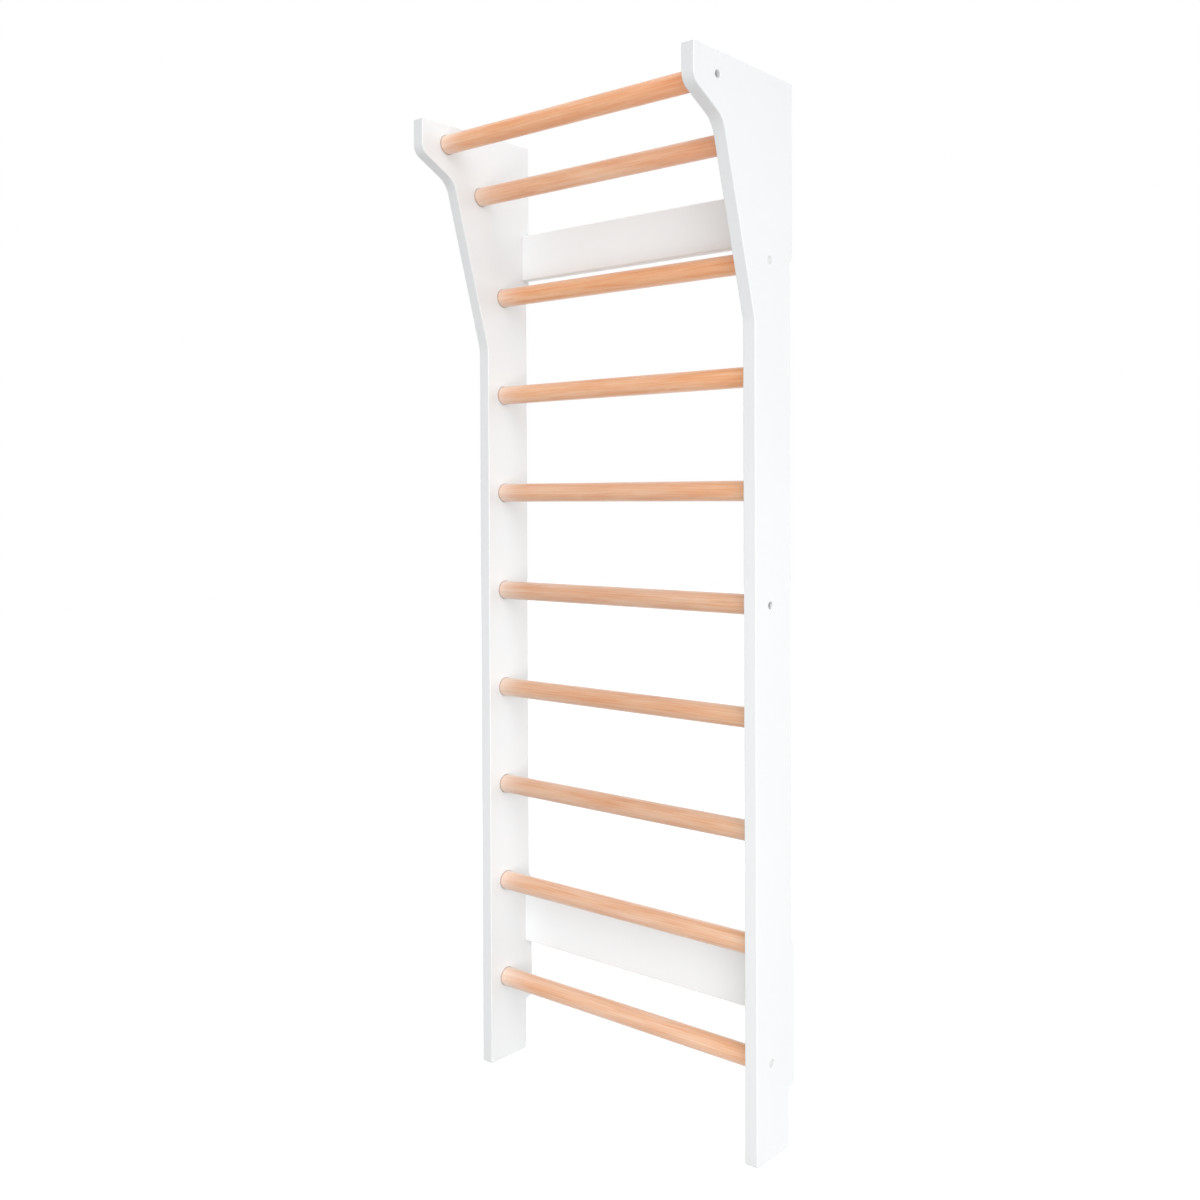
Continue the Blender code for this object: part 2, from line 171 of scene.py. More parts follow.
camera_data = bpy.data.cameras.new("camera")
camera_data.sensor_width = SENSOR_WIDTH
camera_data.lens = FOCAL_PIXELS / IMAGE_WIDTH * SENSOR_WIDTH
camera_data.shift_x = (IMAGE_WIDTH / 2 - OPTICAL_CENTRE[0]) / IMAGE_WIDTH
camera_data.shift_y = (OPTICAL_CENTRE[1] - IMAGE_WIDTH / 2) / IMAGE_WIDTH
camera = bpy.data.objects.new("camera", camera_data)
camera_turn = Matrix.Rotation(math.radians(CAMERA_TURN), 4, "Z")
camera_tilt = Matrix.Rotation(math.radians(90 + CAMERA_TILT), 4, "X")
camera_roll = Matrix.Rotation(math.radians(CAMERA_ROLL), 4, "Z")
camera.matrix_world = Matrix.Translation(CAMERA_PLACE) @ camera_turn @ camera_tilt @ camera_roll
bpy.context.scene.collection.objects.link(camera)
bpy.context.scene.camera = camera
bpy.context.scene.view_settings.view_transform = "Standard"
print(f"camera lens {camera_data.lens:.1f} mm")

# %% [markdown]
# A node material is a small program. These helpers add one node with its settings and wire it
# up, so that each finish below reads as a list of what it does and not of how nodes are made.

# %% Helpers for node trees


def feed(tree, socket, value):
    """Wire another node's output to a socket, or set the socket to a constant."""
    if isinstance(value, bpy.types.NodeSocket):
        tree.links.new(value, socket)
    else:
        socket.default_value = value


def add_node(tree, kind, settings=None, **values):
    """Add a node; settings are its own properties, and values go to its input sockets."""
    node = tree.nodes.new(kind)
    for name, value in (settings or {}).items():
        setattr(node, name, value)
    for name, value in values.items():
        feed(tree, node.inputs[name.replace("_", " ")], value)
    return node


def arithmetic(tree, operation, first, second=0.0, third=0.0):
    """One Math node; each operand is a number or another node's output."""
    node = add_node(tree, "ShaderNodeMath", {"operation": operation})
    for socket, value in zip(node.inputs, (first, second, third)):
        feed(tree, socket, value)
    return node.outputs[0]


def blend_colours(tree, factor, first, second, mode="MIX"):
    """Mix two colours; each is a tuple or another node's output."""
    node = add_node(tree, "ShaderNodeMix", {"data_type": "RGBA", "blend_type": mode})
    for index, value in ((0, factor), (6, first), (7, second)):
        feed(tree, node.inputs[index], value)
    return node.outputs[2]


def remap(tree, value, low, high, new_low, new_high):
    """Stretch a value from one range to another, and keep it inside."""
    limits = {"From_Min": low, "From_Max": high, "To_Min": new_low, "To_Max": new_high}
    return add_node(tree, "ShaderNodeMapRange", Value=value, **limits).outputs[0]


def new_material(name):
    """An empty material with its shader, and the tree that feeds it."""
    material = bpy.data.materials.new(name)
    material.use_nodes = True
    return material, material.node_tree, material.node_tree.nodes["Principled BSDF"]


def noise(tree, place, scale=1.0, detail=2.0, roughness=0.5):
    """A Noise Texture's grey value."""
    kind = "ShaderNodeTexNoise"
    node = add_node(tree, kind, Vector=place, Scale=scale, Detail=detail, Roughness=roughness)
    return node.outputs["Fac"]


def stretched(tree, place, scale):
    """The same place, squeezed along each axis, so that a round pattern turns into streaks."""
    return add_node(tree, "ShaderNodeMapping", Vector=place, Scale=scale).outputs[0]


def rough_skin(tree, shader, height, strength, distance):
    """Bump the shader's surface by a height pattern."""
    bump = add_node(
        tree, "ShaderNodeBump", Height=height, Strength=strength, Distance=distance
    )
    tree.links.new(bump.outputs[0], shader.inputs["Normal"])


# A noise's values seldom leave this range
NOISE_LOW, NOISE_HIGH = 0.3, 0.7


# %% [markdown]
# The lacquer is sprayed, so it is never quite flat: the spray leaves a skin like an orange's,
# and the boards' grain still shows through it as long faint ridges. Both are far too fine to
# model, so they are bump. Its colour is almost even, with slow cloudy changes of one or two
# parts in a hundred, and its gloss changes a little in the same way.

# %% White lacquer
CLOUD_SCALE = 2.3
SKIN_SCALE = 420.0
ALONG_GRAIN, ACROSS_GRAIN = 5.0, 160.0
LACQUER_ROUGHNESS, LACQUER_UNEVENNESS = 0.34, 0.10
GRAIN_HEIGHT, SKIN_HEIGHT = 0.7, 0.35


def white_lacquer(name, grain_scale, dull, bright):
    """White lacquer over a board whose grain runs along the axis with the smallest scale."""
    material, tree, shader = new_material(name)
    place = add_node(tree, "ShaderNodeTexCoord").outputs["Object"]
    clouds = noise(tree, place, CLOUD_SCALE, detail=3.0)
    grain = noise(tree, stretched(tree, place, grain_scale), detail=4.0, roughness=0.6)
    skin = noise(tree, place, SKIN_SCALE, detail=1.0)
    tone = remap(tree, clouds, NOISE_LOW, NOISE_HIGH, 0.0, 1.0)
    white = blend_colours(tree, tone, (*dull, 1.0), (*bright, 1.0))
    tree.links.new(white, shader.inputs["Base Color"])
    gloss = arithmetic(tree, "MULTIPLY_ADD", clouds, LACQUER_UNEVENNESS, LACQUER_ROUGHNESS)
    tree.links.new(gloss, shader.inputs["Roughness"])
    low_skin = arithmetic(tree, "MULTIPLY", skin, SKIN_HEIGHT)
    ridges = arithmetic(tree, "MULTIPLY_ADD", grain, GRAIN_HEIGHT, low_skin)
    rough_skin(tree, shader, ridges, strength=0.10, distance=0.0004)
    return material


upright_lacquer = white_lacquer(
    "white_lacquer_upright",
    grain_scale=(ACROSS_GRAIN, ACROSS_GRAIN, ALONG_GRAIN),
    dull=(0.716, 0.727, 0.734),
    bright=(0.735, 0.746, 0.753),
)
# The boards' white is set brighter and cooler than the panels'
level_lacquer = white_lacquer(
    "white_lacquer_level",
    grain_scale=(ALONG_GRAIN, ACROSS_GRAIN, ACROSS_GRAIN),
    dull=(0.843, 0.872, 0.886),
    bright=(0.862, 0.891, 0.905),
)
print("lacquers", upright_lacquer.name, level_lacquer.name)

# %% [markdown]
# Beech has three patterns at three scales. The growth rings are rings round a pith that lies
# outside the rung, so on the turned surface they show as long bands that widen where the
# surface runs along a ring. Between them run fine fibres, and over both lie the rays: short
# dark dashes a few millimetres long, which are what tells beech from other pale woods. Each
# rung was cut from another board, so it has its own warmth, its own lightness and its own
# stretch of pattern. The rungs carry these as attributes, which the material reads: where a
# point is in its own rung, and two numbers that are the same all over a rung. A clear coat
# over the wood gives the lacquer's gloss, and a little sheen the haze along a rung's rims.
# Light and shade are also painted on the ends of the rungs. Every rung is painted paler
# towards its left end, as painted light from the white panel beside it. Towards the right one,
# painted shade makes the rungs of the head richer in colour and painted light makes the lower
# ones lighter, against the shade of the right panel. A fine ring of painted shade goes round
# both ends, where a rung meets its panel.

# %% Beech
# Each pair of colours is for wood without warmth and for the warmest
PALE_WOOD = ((0.698, 0.455, 0.319, 1.0), (0.785, 0.432, 0.230, 1.0))
STREAKED_WOOD = ((0.612, 0.293, 0.146, 1.0), (0.689, 0.254, 0.074, 1.0))
RAY_COLOUR = (0.42, 0.20, 0.10, 1.0)
DOWEL_WARMTH = 0.3

# Patterns, in repeats a metre along X, Y and Z
DRIFT_SCALE = (3.0, 14.0, 14.0)
FIBRE_SCALE = (9.0, 520.0, 520.0)
BAND_SCALE = (5.0, 80.0, 80.0)
RAY_SCALE = (170.0, 900.0, 900.0)
RINGS_PER_METRE = 210.0
PITH_Y, PITH_Z = -0.021, -0.034
RING_DRIFT = 0.016
LATE_WOOD_POWER = 2.5

# How much each pattern counts, and the range of their sum that goes from pale to streaked
LATE_WOOD_SHARE, BAND_SHARE, FIBRE_SHARE, RAY_SHARE = 0.12, 0.88, 0.20, 0.22
PALE_BELOW, STREAKED_ABOVE = 0.42, 0.74
RAY_CORE, RAY_EDGE = 0.10, 0.28

# The clear lacquer
WOOD_ROUGHNESS, WOOD_UNEVENNESS = 0.40, 0.16
CLEAR_COAT = {
    "Coat Weight": 0.6,
    "Coat Roughness": 0.20,
    "Sheen Weight": 0.15,
    "Sheen Roughness": 0.5,
}
RAY_HEIGHT = -0.5

# Painted light and shade at a rung's ends, as places along X and up Z
# Painted light: the left end painted paler towards the white panel
PAINTED_LIGHT_FROM = 0.230
PAINTED_LIGHT_COLOUR = (0.79, 0.73, 0.67, 1.0)
PAINTED_LIGHT_SHARE = 0.52
# Painted shade on the right ends of the head's rungs, painted light on those of the lower ones
PAINTED_RIGHT_END_FROM = 0.100
HEAD_FROM, LOWER_FROM = 1.70, 1.50
HEAD_PAINTED_SHADE = (1.03, 0.86, 0.76, 1.0)
LOWER_PAINTED_LIGHT = (1.10, 1.15, 1.17, 1.0)
# Painted shade: a dark ring where each rung meets its panel
JOINT_SHADE_FROM = 0.3255
JOINT_SHADE_SOFTNESS = 0.0005
JOINT_SHADE_COLOUR = (0.38, 0.26, 0.20, 1.0)
JOINT_SHADE_SHARE = 0.5


def growth_rings(tree, place, drift):
    """Rings round a pith that lies outside the rung; 0 to 1 across each ring."""
    split = add_node(tree, "ShaderNodeSeparateXYZ", Vector=place)
    across = arithmetic(tree, "ADD", split.outputs["Y"], -PITH_Y)
    deep = arithmetic(tree, "ADD", split.outputs["Z"], -PITH_Z)
    deep_square = arithmetic(tree, "MULTIPLY", deep, deep)
    square = arithmetic(tree, "MULTIPLY_ADD", across, across, deep_square)
    from_pith = arithmetic(tree, "SQRT", square)
    wavy = arithmetic(tree, "MULTIPLY_ADD", drift, RING_DRIFT, from_pith)
    return arithmetic(tree, "FRACT", arithmetic(tree, "MULTIPLY", wavy, RINGS_PER_METRE))


def rung_ends(tree, wood):
    """Painted light on the left end, painted light and shade on the right end by its height, and a
    fine ring of painted shade round both.
    """
    place = add_node(tree, "ShaderNodeTexCoord").outputs["Object"]
    split = add_node(tree, "ShaderNodeSeparateXYZ", Vector=place)
    # Painted light: paler towards the left end
    left_end = remap(tree, split.outputs["X"], -PAINTED_LIGHT_FROM, -INNER_FACE_X, 0.0, 1.0)
    steeper = arithmetic(tree, "POWER", left_end, 2.0)
    painted_light = arithmetic(tree, "MULTIPLY", steeper, PAINTED_LIGHT_SHARE)
    wood = blend_colours(tree, painted_light, wood, PAINTED_LIGHT_COLOUR)
    # Painted shade on the head's right ends, painted light against the right panel's shade lower
    # down
    right_end = remap(tree, split.outputs["X"], PAINTED_RIGHT_END_FROM, INNER_FACE_X, 0.0, 1.0)
    below_head = remap(tree, split.outputs["Z"], HEAD_FROM, LOWER_FROM, 0.0, 1.0)
    end_light_and_shade = blend_colours(tree, below_head, HEAD_PAINTED_SHADE, LOWER_PAINTED_LIGHT)
    wood = blend_colours(tree, right_end, wood, end_light_and_shade, "MULTIPLY")
    # Painted shade in a fine ring round both ends
    from_middle = arithmetic(tree, "ABSOLUTE", split.outputs["X"])
    joint_shade_to = JOINT_SHADE_FROM + JOINT_SHADE_SOFTNESS
    joint_shade = remap(tree, from_middle, JOINT_SHADE_FROM, joint_shade_to, 0.0, JOINT_SHADE_SHARE)
    return blend_colours(tree, joint_shade, wood, JOINT_SHADE_COLOUR)


def attribute(tree, name, output):
    """Read what the rung tree wrote on the mesh."""
    return add_node(tree, "ShaderNodeAttribute", {"attribute_name": name}).outputs[output]


def beech(name, turned_piece):
    """Beech along X under clear lacquer; a turned piece carries its own place and tone."""
    material, tree, shader = new_material(name)
    if turned_piece:
        place = attribute(tree, "rung_place", "Vector")
        warmth = attribute(tree, "rung_warmth", "Fac")
    else:
        place = add_node(tree, "ShaderNodeTexCoord").outputs["Object"]
        warmth = DOWEL_WARMTH
    drift = noise(tree, stretched(tree, place, DRIFT_SCALE))
    rings = growth_rings(tree, place, drift)
    late_wood = arithmetic(tree, "POWER", rings, LATE_WOOD_POWER)
    fibres = noise(tree, stretched(tree, place, FIBRE_SCALE), detail=3.0, roughness=0.65)
    bands = noise(tree, stretched(tree, place, BAND_SCALE), detail=4.0, roughness=0.6)
    cells = stretched(tree, place, RAY_SCALE)
    rays = add_node(tree, "ShaderNodeTexVoronoi", {"feature": "F1"}, Vector=cells, Scale=1.0)
    dashes = remap(tree, rays.outputs["Distance"], RAY_CORE, RAY_EDGE, 1.0, 0.0)

    pale = blend_colours(tree, warmth, *PALE_WOOD)
    streak = blend_colours(tree, warmth, *STREAKED_WOOD)
    figure = arithmetic(tree, "MULTIPLY", bands, BAND_SHARE)
    figure = arithmetic(tree, "MULTIPLY_ADD", late_wood, LATE_WOOD_SHARE, figure)
    figure = arithmetic(tree, "MULTIPLY_ADD", fibres, FIBRE_SHARE, figure)
    streaked = remap(tree, figure, PALE_BELOW, STREAKED_ABOVE, 0.0, 1.0)
    wood = blend_colours(tree, streaked, pale, streak)
    flecks = arithmetic(tree, "MULTIPLY", dashes, RAY_SHARE)
    wood = blend_colours(tree, flecks, wood, RAY_COLOUR)
    if turned_piece:
        lightness = attribute(tree, "rung_lightness", "Fac")
        wood = blend_colours(tree, 1.0, wood, lightness, "MULTIPLY")
        wood = rung_ends(tree, wood)
    tree.links.new(wood, shader.inputs["Base Color"])

    gloss = arithmetic(tree, "MULTIPLY_ADD", fibres, WOOD_UNEVENNESS, WOOD_ROUGHNESS)
    tree.links.new(gloss, shader.inputs["Roughness"])
    for socket_name, value in CLEAR_COAT.items():
        shader.inputs[socket_name].default_value = value
    height = arithmetic(tree, "MULTIPLY_ADD", dashes, RAY_HEIGHT, fibres)
    rough_skin(tree, shader, height, strength=0.18, distance=0.0003)
    return material


rung_beech = beech("rung_beech", True)
dowel_beech = beech("dowel_beech", False)
print("wood", rung_beech.name, dowel_beech.name)

# %% [markdown]
# The bolts are zinc plated steel. Seen down a counterbore they look dark, with a little
# mottling in the gloss from the plating bath. The inserts are the same, but paler.

# %% Plated steel
MOTTLE_SCALE = 900.0
SMOOTH_PLATING, DULL_PLATING = 0.26, 0.44


def plated_steel(name, dark, light):
    """Metal whose colour and gloss are slightly mottled."""
    material, tree, shader = new_material(name)
    place = add_node(tree, "ShaderNodeTexCoord").outputs["Object"]
    mottle = noise(tree, place, MOTTLE_SCALE, detail=4.0)
    tree.links.new(blend_colours(tree, mottle, dark, light), shader.inputs["Base Color"])
    gloss = remap(tree, mottle, NOISE_LOW, NOISE_HIGH, SMOOTH_PLATING, DULL_PLATING)
    tree.links.new(gloss, shader.inputs["Roughness"])
    shader.inputs["Metallic"].default_value = 1.0
    return material


bolt_steel = plated_steel("bolt_steel", (0.46, 0.46, 0.47, 1.0), (0.58, 0.58, 0.59, 1.0))
insert_steel = plated_steel("insert_steel", (0.52, 0.49, 0.42, 1.0), (0.70, 0.68, 0.62, 1.0))
print("metals", bolt_steel.name, insert_steel.name)

# %% [markdown]
# Two of the four counterbores on each panel are closed with light grey caps. They are moulded,
# so their skin has a fine even texture, and their grey is a little uneven.

# %% Moulded plastic
UNEVEN_SCALE = 160.0
TEXTURE_SCALE = 2600.0
SMOOTH_PLASTIC, DULL_PLASTIC = 0.42, 0.56


def moulded_plastic(name, dark, light):
    """Matt plastic with the fine texture of its mould."""
    material, tree, shader = new_material(name)
    place = add_node(tree, "ShaderNodeTexCoord").outputs["Object"]
    uneven = noise(tree, place, UNEVEN_SCALE)
    texture = noise(tree, place, TEXTURE_SCALE, detail=1.0)
    tree.links.new(blend_colours(tree, uneven, dark, light), shader.inputs["Base Color"])
    gloss = remap(tree, texture, NOISE_LOW, NOISE_HIGH, SMOOTH_PLASTIC, DULL_PLASTIC)
    tree.links.new(gloss, shader.inputs["Roughness"])
    rough_skin(tree, shader, texture, strength=0.15, distance=0.0001)
    return material


cap_plastic = moulded_plastic("cap_plastic", (0.62, 0.62, 0.62, 1.0), (0.68, 0.68, 0.68, 1.0))
print("plastic", cap_plastic.name)

# %% [markdown]
# Turned pieces and holes share one tool: a list of points along the axis, each with a radius,
# spun about X. The same tool makes the rungs, the bolts and the cutters for every hole, so
# a hole and what goes into it are always worked out in the same way.

# %% Helpers for meshes


def turned(bm, profile, sides, place=(0.0, 0.0, 0.0)):
    """Spin (x, radius) points about X into a closed skin; a radius of 0 is a point on the axis."""
    rings = []
    for x, radius in profile:
        count = 1 if radius == 0.0 else sides
        ring = []
        for step in range(count):
            angle = 2 * math.pi * step / sides
            offset = Vector((x, radius * math.cos(angle), radius * math.sin(angle)))
            ring.append(bm.verts.new(Vector(place) + offset))
        rings.append(ring)
    for near, far in zip(rings, rings[1:]):
        for step in range(sides):
            following = (step + 1) % sides
            corners = [near[step % len(near)], near[following % len(near)]]
            corners += [far[following % len(far)], far[step % len(far)]]
            bm.faces.new(list(dict.fromkeys(corners)))


def mesh_from(bm, name):
    """Turn a bmesh into a mesh whose faces point out and whose round sides shade smooth."""
    bmesh.ops.recalc_face_normals(bm, faces=bm.faces)
    mesh = bpy.data.meshes.new(name)
    bm.to_mesh(mesh)
    bm.free()
    mesh.shade_smooth()
    mesh.set_sharp_from_angle(angle=SHARP_ANGLE)
    return mesh


def add_object(name, mesh):
    """Put a mesh in the scene, at the origin."""
    made = bpy.data.objects.new(name, mesh)
    bpy.context.scene.collection.objects.link(made)
    return made


def evaluated_mesh(source, name):
    """The mesh that an object's modifiers make, as a plain mesh of its own."""
    bpy.context.view_layer.update()
    graph = bpy.context.evaluated_depsgraph_get()
    mesh = bpy.data.meshes.new_from_object(source.evaluated_get(graph))
    mesh.name = name
    return mesh


def cut_out(mesh, cutter_mesh, name):
    """Take the cutter's solids out of a mesh."""
    body = add_object(name, mesh)
    cutter = add_object(name + "_cutter", cutter_mesh)
    cutter.hide_render = True
    boolean = body.modifiers.new("cut", "BOOLEAN")
    boolean.operation = "DIFFERENCE"
    boolean.solver = "EXACT"
    boolean.object = cutter
    result = evaluated_mesh(body, name)
    bpy.data.objects.remove(body, do_unlink=True)
    bpy.data.objects.remove(cutter, do_unlink=True)
    result.set_sharp_from_angle(angle=SHARP_ANGLE)
    return result


def reach_along_x(edge):
    """How far an edge runs in the X direction."""
    return abs(edge.verts[0].co.x - edge.verts[1].co.x)


def soften(bm, edges, rounding, steps):
    """Round edges over, as sanding does."""
    bmesh.ops.bevel(
        bm,
        geom=edges,
        offset=rounding,
        offset_type="OFFSET",
        segments=steps,
        profile=ROUND_BEVEL,
        affect="EDGES",
    )


def flat_faced(name, mesh):
    """Put a sawn piece in the scene, shaded so that its large faces look flat."""
    piece = add_object(name, mesh)
    shading = piece.modifiers.new("flat_faces", "WEIGHTED_NORMAL")
    shading.keep_sharp = True
    return piece


def dress(piece, material, nodes):
    """Give a finished piece its material, and say which solids it stands for."""
    piece.data.materials.clear()
    piece.data.materials.append(material)
    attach(piece, "root")
    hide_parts(*nodes)
    print(f"{piece.name}: {len(piece.data.polygons)} faces")


# %% [markdown]
# A side panel is sawn from one board, and its outline carries all of its shape: the nose, the
# neck, the taper, the two wall pads and the notch for the skirting. So the outline is written
# as corners, each with the radius that rounds it, and arcs are put in by a rule. The rims are
# then bevelled, because lacquered edges are always sanded soft first, and last the sockets,
# the counterbores and the dowel holes are cut, all with one Boolean.

# %% Side panel outline


def panel_corners():
    """Each corner's y, z and rounding, from the floor at the front, round by the wall."""
    upper_board_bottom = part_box("upper_back_board")[0].z
    lower_board_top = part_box("lower_back_board")[1].z
    second = rung_axis(2)
    foot_y = WALL_Y - SKIRTING_NOTCH_DEPTH
    recess_y = WALL_Y - PAD_PROUD
    lower_pad_top = lower_board_top + PAD_ABOVE_LOWER_BOARD
    upper_pad_bottom = upper_board_bottom - PAD_BELOW_UPPER_BOARD
    neck = (second.y - NECK_AHEAD_OF_SECOND_RUNG, second.z + NECK_ABOVE_SECOND_RUNG)
    return [
        (FRONT_EDGE_Y, 0.0, CORNER_ROUNDING),
        (foot_y, 0.0, CORNER_ROUNDING),
        (foot_y, SKIRTING_NOTCH_HEIGHT, SKIRTING_ROUNDING),
        (WALL_Y, SKIRTING_NOTCH_HEIGHT, SKIRTING_ROUNDING),
        (WALL_Y, lower_pad_top, PAD_ROUNDING),
        (recess_y, lower_pad_top + PAD_RAMP, PAD_ROUNDING),
        (recess_y, upper_pad_bottom - PAD_RAMP, PAD_ROUNDING),
        (WALL_Y, upper_pad_bottom, PAD_ROUNDING),
        (WALL_Y, TOP_Z, CORNER_ROUNDING),
        (NOSE_Y, TOP_Z, CORNER_ROUNDING),
        (NOSE_Y, TOP_Z - NOSE_FACE_HEIGHT, NOSE_ROUNDING),
        (*neck, NECK_ROUNDING),
        (FRONT_EDGE_Y, TOP_Z - TAPER_LENGTH, TAPER_ROUNDING),
    ]


def rounded_outline(corners):
    """Replace each corner of a closed outline with an arc of its radius."""
    points = []
    for index, (y, z, radius) in enumerate(corners):
        corner = Vector((y, z))
        before = Vector(corners[index - 1][:2]) - corner
        after = Vector(corners[(index + 1) % len(corners)][:2]) - corner
        half_angle = before.angle(after) / 2
        setback = radius / math.tan(half_angle)
        inwards = (before.normalized() + after.normalized()).normalized()
        centre = corner + inwards * radius / math.sin(half_angle)
        start = corner + before.normalized() * setback - centre
        end = corner + after.normalized() * setback - centre
        sweep = start.angle_signed(end)
        wanted = math.ceil(abs(math.degrees(sweep)) / DEGREES_PER_ARC_STEP)
        steps = max(FEWEST_ARC_STEPS, wanted)
        for step in range(steps + 1):
            points.append(centre + Matrix.Rotation(-sweep * step / steps, 2) @ start)
    return points


outline = rounded_outline(panel_corners())
print("panel outline points", len(outline))

# %% Side panels


def rounded_mouth(face_x, radius, rim, inwards):
    """A hole's mouth with its rim sanded round; inwards is 1 or -1, the way into the wood."""
    points = []
    for degrees in HOLE_RIM_DEGREES:
        angle = math.radians(degrees)
        depth = rim * (1 - math.cos(angle))
        points.append((face_x + inwards * depth, radius + rim * (1 - math.sin(angle))))
    return [(face_x - inwards * PAST_THE_FACE, points[0][1])] + points


def rung_socket(number):
    """The (x, radius) profile of what is bored on one rung's axis, from the inside outwards."""
    seat = OUTER_FACE_X - COUNTERBORE_DEPTH
    socket_floor = INNER_FACE_X + SOCKET_DEPTH
    profile = [(INNER_FACE_X - PAST_THE_FACE, 0.0)]
    profile += rounded_mouth(INNER_FACE_X, SOCKET_RADIUS, SOCKET_RIM, 1)
    profile += [(socket_floor, SOCKET_RADIUS)]
    if number in BOLTED_RUNGS:
        profile += [(socket_floor, BOLT_HOLE_RADIUS), (seat, BOLT_HOLE_RADIUS)]
        profile += [(seat, COUNTERBORE_RADIUS)]
        profile += rounded_mouth(OUTER_FACE_X, COUNTERBORE_RADIUS, COUNTERBORE_RIM, -1)[::-1]
        profile += [(OUTER_FACE_X + PAST_THE_FACE, 0.0)]
    else:
        profile += [(socket_floor, 0.0)]
    return profile


def dowel_hole(from_x, to_x):
    """The (x, radius) profile of a blind hole for a dowel."""
    return [(from_x, 0.0), (from_x, DOWEL_HOLE_RADIUS), (to_x, DOWEL_HOLE_RADIUS), (to_x, 0.0)]


def mirrored(profile, side):
    """The same profile for the left side, where side is -1, or the right one."""
    return [(side * x, radius) for x, radius in profile]


def panel_holes(side):
    """Every hole of one panel: sockets on its inner face, counterbores on its outer one."""
    bm = bmesh.new()
    for number in RUNG_NUMBERS:
        axis = rung_axis(number)
        turned(bm, mirrored(rung_socket(number), side), SOCKET_SIDES, (0.0, axis.y, axis.z))
    profile = dowel_hole(INNER_FACE_X - PAST_THE_FACE, INNER_FACE_X + DOWEL_HOLE_DEPTH)
    for board in ("upper", "lower"):
        for end in ("top", "bottom"):
            axis = middle_of(f"left_dowel_{board}_board_{end}")
            turned(bm, mirrored(profile, side), DOWEL_HOLE_SIDES, (0.0, axis.y, axis.z))
    return mesh_from(bm, "panel_holes")


def side_panel(name, side):
    """One lacquered panel; side is -1 for the left one and 1 for the right one."""
    bm = bmesh.new()
    inner = side * INNER_FACE_X
    face = bm.faces.new([bm.verts.new((inner, point.x, point.y)) for point in outline])
    grown = bmesh.ops.extrude_face_region(bm, geom=[face])["geom"]
    moved = [item for item in grown if isinstance(item, bmesh.types.BMVert)]
    bmesh.ops.translate(bm, verts=moved, vec=(side * PANEL_THICKNESS, 0.0, 0.0))
    rims = [edge for edge in bm.edges if reach_along_x(edge) < FIT]
    soften(bm, rims, EDGE_ROUNDING, PANEL_BEVEL_STEPS)
    return flat_faced(name, cut_out(mesh_from(bm, name), panel_holes(side), name))


for word, side in (("left", -1), ("right", 1)):
    panel = side_panel(f"{word}_panel", side)
    dress(panel, upright_lacquer, [f"{word}_side_panel"])

# %% [markdown]
# A back board is plain: planed flat, its edges eased, lacquered like the panels but in a brighter,
# cooler white, and with its grain running level. It is bevelled from a box the size of its solid,
# and its ends are bored for the dowels that join it to the panels.

# %% Back boards


def back_board(name, node, dowels):
    """A board the size of its solid, with eased edges and bored ends."""
    low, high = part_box(node)
    size = high - low
    middle = (low + high) / 2
    bm = bmesh.new()
    bmesh.ops.create_cube(bm, size=1.0)
    bmesh.ops.scale(bm, vec=size, verts=bm.verts)
    bmesh.ops.translate(bm, vec=middle, verts=bm.verts)
    long_edges = [edge for edge in bm.edges if reach_along_x(edge) > FIT]
    soften(bm, long_edges, BOARD_ROUNDING, BOARD_BEVEL_STEPS)
    holes = bmesh.new()
    profile = dowel_hole(INNER_FACE_X - DOWEL_HOLE_DEPTH, INNER_FACE_X + PAST_THE_FACE)
    for dowel in dowels:
        axis = middle_of(dowel)
        side = math.copysign(1.0, axis.x)
        turned(holes, mirrored(profile, side), DOWEL_HOLE_SIDES, (0.0, axis.y, axis.z))
    mesh = cut_out(mesh_from(bm, name), mesh_from(holes, "board_holes"), name)
    return flat_faced(name, mesh)


for word in ("upper", "lower"):
    its_dowels = [
        f"{side}_dowel_{word}_board_{end}"
        for side in ("left", "right")
        for end in ("top", "bottom")
    ]
    board = back_board(f"{word}_board", f"{word}_back_board", its_dowels)
    dress(board, level_lacquer, [f"{word}_back_board"])

# %% [markdown]
# The ten rungs are one shape ten times over, so Geometry Nodes set them out: a mesh of ten
# loose points, one on each rung's axis, and on each point a copy of a turned rung. Four rungs
# are bored for inserts, which a number on each point tells. Before the copies are made, the
# tree writes each point's place in its own rung into an attribute, and turns that place
# differently for each rung, so that no two show the same face of the tree they came from.

# %% The tree that sets out copies on points
GRAIN_SHIFT_LEAST = (-40.0, -0.02, -0.02)
GRAIN_SHIFT_MOST = (40.0, 0.03, 0.03)
BORED_ABOVE = 0.5


def new_geometry_tree(name, inputs):
    """A Geometry Nodes tree with named inputs; returns it with its input and output nodes."""
    tree = bpy.data.node_groups.new(name, "GeometryNodeTree")
    tree.interface.new_socket("Geometry", in_out="INPUT", socket_type="NodeSocketGeometry")
    for label, kind in inputs:
        tree.interface.new_socket(label, in_out="INPUT", socket_type=kind)
    tree.interface.new_socket("Geometry", in_out="OUTPUT", socket_type="NodeSocketGeometry")
    return tree, tree.nodes.new("NodeGroupInput"), tree.nodes.new("NodeGroupOutput")


def named_value(tree, name, kind):
    """Read an attribute of the points."""
    node = add_node(tree, "GeometryNodeInputNamedAttribute", {"data_type": kind})
    node.inputs["Name"].default_value = name
    return node.outputs["Attribute"]


